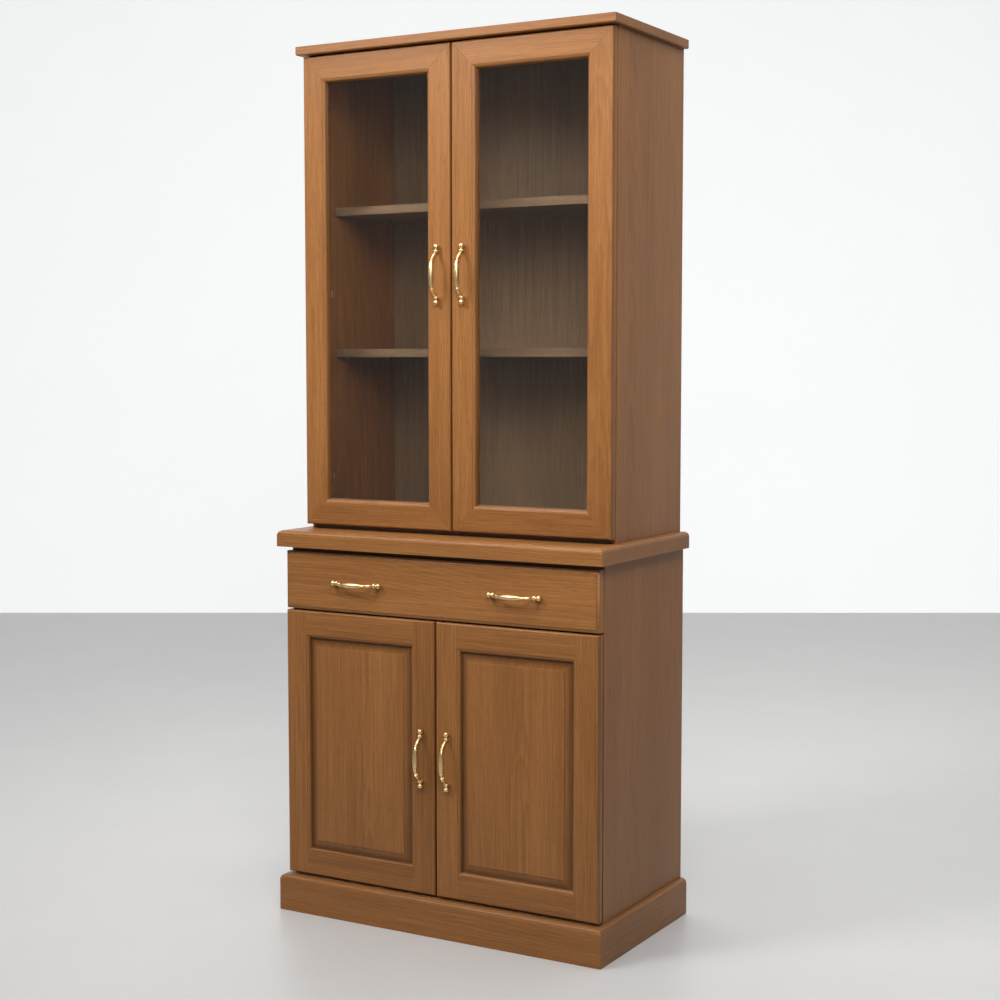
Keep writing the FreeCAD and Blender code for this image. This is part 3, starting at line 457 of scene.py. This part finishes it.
SHOW_BOARDS = ["plinth_front", "plinth_left", "plinth_right", "base_side_left",
               "base_side_right", "countertop", "countertop_edging", "hutch_side_left",
               "hutch_side_right", "top_board", "hutch_door_left_glazing_beads",
               "hutch_door_right_glazing_beads"]
DOOR_FRAMES = ["%s_door_%s_%s" % (unit, side, member)
               for side in ("left", "right")
               for unit in ("base", "hutch")
               for member in ("outer_stile", "inner_stile", "rails")]
PANELS = ["base_door_left_panel", "base_door_right_panel"]
INSIDE_BOARDS = ["plinth_back", "base_bottom", "base_top_rails", "drawer_divider_rail",
                 "base_shelf", "hutch_bottom", "hutch_shelf_lower", "hutch_shelf_upper"]
PALE_BOARDS = ["plinth_cleats", "hutch_dowels", "drawer_runners", "drawer_side_left",
               "drawer_side_right", "drawer_box_front", "drawer_box_back"]
BACKS = ["base_back_panel", "hutch_back_panel"]

ROUNDED_EDGE = 0.0006
FRAME_EDGE = 0.0004
CRISP_EDGE = 0.0003
# Depths behind the face of the painted shade in frame and panel recesses: start, darkest, end.
FRAME_RECESS = (0.0015, 0.0085, 0.0096)
PANEL_RECESS = (0.0016, 0.0060, 0.0080)
PANEL_HEART = 0.02

for node in SHOW_BOARDS:
    lay_boards(node, STAIN, ROUNDED_EDGE)
for node in DOOR_FRAMES:
    lay_boards(node, STAIN, FRAME_EDGE, recess=FRAME_RECESS)
for node in PANELS:
    lay_boards(node, STAIN, CRISP_EDGE, heart=PANEL_HEART, recess=PANEL_RECESS)
lay_boards("drawer_front", STAIN, CRISP_EDGE,
           pieces=[stepped_board("drawer_front")])
for node in INSIDE_BOARDS:
    lay_boards(node, INSIDE_STAIN, ROUNDED_EDGE)
for node in PALE_BOARDS:
    lay_boards(node, PALE_WOOD, ROUNDED_EDGE)
for node in BACKS:
    lay_boards(node, INSIDE_STAIN, CRISP_EDGE, grain="z")
lay_boards("drawer_bottom", PALE_WOOD, CRISP_EDGE)

hinge_nodes = [node for node in frame["nodes"] if node.endswith(("hinge_cups", "hinge_arms"))]
finish_of_node = {node: clear_pane for node in frame["nodes"] if node.endswith("glass")}
finish_of_node.update({node: nickel_plate for node in hinge_nodes + ["shelf_pins"]})
for node, finish in finish_of_node.items():
    frame["nodes"][node].data.materials.clear()
    frame["nodes"][node].data.materials.append(finish)


# ---------------------------------------------------------------- screws of the hinges

ROUND_SIDES = 24
SCREW_RADIUS = 0.0032
SCREW_HEIGHT = 0.0012
SCREW_RIM = 0.0003
SCREW_SMOOTH = 30
CROSS_ARM = (0.0036, 0.0012, 0.0007)
CUP_SCREW_SPREAD = 0.024
ARM_SCREW_SPREAD = 0.018
# A cup's plate is taller than the first, and an arm's plate lies between the two.
CUP_PLATE_ABOVE = 0.06
ARM_PLATE_ABOVE = 0.04
EDGE_BAND = 0.001


def make_screw():
    """A screw head with a cross recess, which stands on Y 0 and faces -Y."""
    bpy.ops.mesh.primitive_cylinder_add(vertices=ROUND_SIDES, radius=SCREW_RADIUS,
                                        depth=SCREW_HEIGHT,
                                        location=(0, -SCREW_HEIGHT / 2, 0),
                                        rotation=(math.radians(90), 0, 0))
    head = bpy.context.active_object
    apply_place()
    rim = head.modifiers.new("rim", "BEVEL")
    rim.width = SCREW_RIM
    rim.segments = 2
    bpy.ops.object.modifier_apply(modifier=rim.name)
    for turn in (45, -45):
        bpy.ops.mesh.primitive_cube_add(size=1, location=(0, -SCREW_HEIGHT, 0))
        cutter = bpy.context.active_object
        cutter.scale = CROSS_ARM
        cutter.rotation_euler.y = math.radians(turn)
        pick_only(head)
        cut = head.modifiers.new("cut", "BOOLEAN")
        cut.object = cutter
        cut.operation = "DIFFERENCE"
        bpy.ops.object.modifier_apply(modifier=cut.name)
        bpy.data.objects.remove(cutter)
    smooth_below(SCREW_SMOOTH)
    return head


def screw_places(node):
    """Place and turn of each screw head on the plates of a hinge node.

    The band at a plate's lower end has no cup or arm on it, so it gives the plate's own faces.
    """
    places = []
    for plate in welded_copy(node):
        low, high = box_of(plate)
        middle = (low.z + high.z) / 2
        edge_low, edge_high = box_round([v.co for v in plate.data.vertices
                                         if v.co.z < low.z + EDGE_BAND])
        if high.z - low.z > CUP_PLATE_ABOVE:
            x, y = (edge_low.x + edge_high.x) / 2, edge_high.y
            places += [((x, y, middle + way * CUP_SCREW_SPREAD), 180) for way in (-1, 1)]
        elif high.z - low.z > ARM_PLATE_ABOVE:
            right = low.x > 0
            x, y = edge_low.x if right else edge_high.x, (edge_low.y + edge_high.y) / 2
            places += [((x, y, middle + way * ARM_SCREW_SPREAD), -90 if right else 90)
                       for way in (-1, 1)]
        bpy.data.objects.remove(plate)
    return places


master_screw = make_screw()
for node in hinge_nodes:
    heads = []
    for place, turn in screw_places(node):
        head = new_piece(node + "_screws", master_screw.data.copy())
        head.location = place
        head.rotation_euler.z = math.radians(turn)
        heads.append(head)
    pick_only(*heads)
    apply_place()
    bpy.ops.object.join()
    heads[0].data.materials.append(nickel_plate)
    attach(heads[0], body_of_node[node])
bpy.data.objects.remove(master_screw)


# ---------------------------------------------------------------- turned pulls

PULL_CENTRES = 0.102
PULL_AXIS = 0.0083
PULL_SMOOTH = 40
BOW_RISE = 0.021
BOW_REACH = 0.0479
BOW_POWER = 4
BELLY_SECTIONS = 7
BELLY_RADIUS = 0.006
NECK_RADIUS = 0.0025
COLLAR_SHARE = 0.68
# Distance from the collar's middle, and radius: two ridges with a groove between them.
COLLAR = [(-0.0024, 0.0025), (-0.0017, 0.0042), (-0.0009, 0.0042), (-0.0002, 0.0027),
          (0.0002, 0.0027), (0.0009, 0.0042), (0.0015, 0.0042), (0.0021, 0.0025)]
# Share of the bow's reach, and radius: the swelling between the collar and the end ring.
SWELLING = [(0.78, 0.0034), (0.85, 0.0040), (0.92, 0.0037), (1.0, 0.0030), (1.03, 0.0026)]
# Distance from the pull's middle, and radius: the end ring, the waist and the button.
END_TURNING = [(BOW_REACH, 0.0044), (0.0487, 0.0056), (0.0497, 0.0060), (0.0523, 0.0060),
               (0.0533, 0.0056), (0.0541, 0.0044), (0.0543, 0.0032), (0.0569, 0.0032),
               (0.0571, 0.0040), (0.0579, 0.0053), (0.0594, 0.0061), (0.0612, 0.0063),
               (0.0632, 0.0062), (0.0650, 0.0055), (0.0663, 0.0041), (0.0670, 0.0022)]
# Distance off the face, and radius: the post, which ends at the pull's axis.
POST = [(0.0, 0.0034), (0.0010, 0.0034), (0.0016, 0.0030), (PULL_AXIS, 0.0030)]


def bow_section(share, beyond, radius):
    """Place, tilt and radius of one round section of the bow."""
    height = PULL_AXIS + BOW_RISE * (1 - share ** BOW_POWER)
    slope = -BOW_RISE * BOW_POWER * share ** (BOW_POWER - 1) / BOW_REACH
    return (0, -height - slope * beyond, BOW_REACH * share + beyond), math.atan(slope), radius


def turned(sections):
    """A piece bridged through a row of round sections and closed at both ends."""
    piece = new_piece("turned", bpy.data.meshes.new("turned"))
    pick_only(piece)
    bpy.ops.object.mode_set(mode="EDIT")
    for place, tilt, radius in sections:
        bpy.ops.mesh.primitive_circle_add(vertices=ROUND_SIDES, radius=radius, location=place,
                                          rotation=(tilt, 0, 0))
    bpy.ops.mesh.select_all(action="SELECT")
    bpy.ops.mesh.bridge_edge_loops()
    bpy.ops.mesh.select_all(action="SELECT")
    bpy.ops.mesh.fill_holes(sides=0)
    bpy.ops.mesh.select_all(action="SELECT")
    bpy.ops.mesh.normals_make_consistent(inside=False)
    bpy.ops.object.mode_set(mode="OBJECT")
    return piece


def belly_section(share):
    """A section between the bow's middle, at share 0, and its neck, at share 1."""
    radius = BELLY_RADIUS - (BELLY_RADIUS - NECK_RADIUS) * share ** 2
    return bow_section(COLLAR_SHARE * share, 0, radius)


def make_pull():
    """An upright pull that stands off a face at Y 0 towards -Y."""
    half = [belly_section(k / BELLY_SECTIONS) for k in range(BELLY_SECTIONS)]
    half += [bow_section(COLLAR_SHARE, beyond, radius) for beyond, radius in COLLAR]
    half += [bow_section(share, 0, radius) for share, radius in SWELLING]
    lower = [((x, y, -z), -tilt, radius) for (x, y, z), tilt, radius in half[:0:-1]]
    parts = [turned(lower + half)]
    for way in (-1, 1):
        parts.append(turned([((0, -PULL_AXIS, way * place), 0, radius)
                             for place, radius in END_TURNING]))
        parts.append(turned([((0, -height, way * PULL_CENTRES / 2), math.radians(90), radius)
                             for height, radius in POST]))
    pick_only(*parts)
    bpy.ops.object.join()
    smooth_below(PULL_SMOOTH)
    return parts[0]


master_pull = make_pull()
for node in [node for node in frame["nodes"] if "pull" in node]:
    low, high = box_of(frame["nodes"][node])
    pull = new_piece(node + "_turned", master_pull.data.copy())
    pull.location = ((low.x + high.x) / 2, high.y, (low.z + high.z) / 2)
    if high.x - low.x > high.z - low.z:
        pull.rotation_euler.y = math.radians(90)
    pick_only(pull)
    apply_place()
    pull.data.materials.append(antique_brass)
    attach(pull, body_of_node[node])
    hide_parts(node)
bpy.data.objects.remove(master_pull)


# ---------------------------------------------------------------- floor, light and camera

CAMERA_PLACE = Vector((2.0513, -3.4663, 1.2743))
CAMERA_YAW = math.radians(29.96)
CAMERA_PITCH = math.radians(-4.40)
SENSOR = 36
LENS = 63.48

STAGE_SIZE = 16
WALL_AWAY = 9.0
WALL_MIDDLE = 4
# Colour, roughness and glow.
FLOOR = ((0.50, 0.495, 0.49), 0.38, 0.0)
WALL = ((0.40, 0.405, 0.405), 0.9, 1.72)
CLOUDS = (2.5, 2.5, 5.0, 0.6)
CLOUDS_FROM = 0.3
CLOUDS_TO = 0.7
CLOUD_SHADE = 0.96

SKY = (0.93, 0.96, 1.0)
SKY_STRENGTH = 0.22
# Name, place, aim, side of its square, power, colour and spread in degrees.
LAMPS = [("key", (-1.9, -2.7, 3.6), (0, 0, 2.0), 1.3, 26, (1.0, 0.98, 0.95), 75),
         ("fill", (1.5, -2.3, 2.7), (0.1, -0.1, 1.6), 0.9, 13, (1.0, 0.96, 0.92), 75),
         ("overhead", (0.4, -0.4, 4.6), (0.4, -0.4, 0), 5.0, 245, (1, 1, 1), 180)]


def plain(name, colour, roughness, glow):
    """A matt finish in soft clouds of one colour, which can glow."""
    finish, tree, shader = new_finish(name)
    clouds = stretched(tree, noise(tree, own_place(tree), *CLOUDS), CLOUDS_FROM, CLOUDS_TO)
    tint = mixed(tree, clouds, opaque(colour, CLOUD_SHADE), opaque(colour))
    feed(tree, shader, Base_Color=tint, Roughness=roughness, Emission_Color=opaque(colour),
         Emission_Strength=glow)
    return finish


def add_plane(name, finish, place, rotation=(0, 0, 0)):
    """A large square of the stage."""
    bpy.ops.mesh.primitive_plane_add(size=STAGE_SIZE, location=place, rotation=rotation)
    plane = bpy.context.active_object
    plane.name = name
    plane.data.materials.append(finish)
    return plane


def make_stage():
    """A pale floor and a plain wall square to the view."""
    floor = add_plane("floor", plain("pale_floor", *FLOOR), (0, 0, 0))
    ahead = Vector((-math.sin(CAMERA_YAW), math.cos(CAMERA_YAW), 0))
    wall_place = CAMERA_PLACE + ahead * WALL_AWAY
    wall = add_plane("wall", plain("pale_wall", *WALL), (wall_place.x, wall_place.y, WALL_MIDDLE),
                     (math.radians(90), 0, CAMERA_YAW))


def add_lamp(name, place, aim, side, power, colour, spread):
    """A square lamp that faces its aim."""
    data = bpy.data.lights.new(name, "AREA")
    data.spread = math.radians(spread)
    data.shape = "RECTANGLE"
    data.size = data.size_y = side
    data.energy = power
    data.color = colour
    lamp = new_piece(name, data)
    lamp.location = place
    lamp.rotation_euler = (Vector(aim) - Vector(place)).to_track_quat("-Z", "Y").to_euler()


def make_light():
    """A faint sky, a key and a fill lamp on the object, and a wide lamp above."""
    world = bpy.data.worlds.new("studio")
    bpy.context.scene.world = world
    world.use_nodes = True
    backdrop = world.node_tree.nodes["Background"]
    feed(world.node_tree, backdrop, Color=opaque(SKY), Strength=SKY_STRENGTH)
    for lamp in LAMPS:
        add_lamp(*lamp)


def make_camera():
    """The camera, in front of the dresser and to its right, a little tilted down."""
    data = bpy.data.cameras.new("camera")
    data.sensor_width = SENSOR
    data.lens = LENS
    camera = new_piece("camera", data)
    camera.location = CAMERA_PLACE
    camera.rotation_euler = (math.radians(90) + CAMERA_PITCH, 0, CAMERA_YAW)
    bpy.context.scene.camera = camera


make_stage()
make_light()
make_camera()
bpy.context.scene.view_settings.view_transform = "Standard"
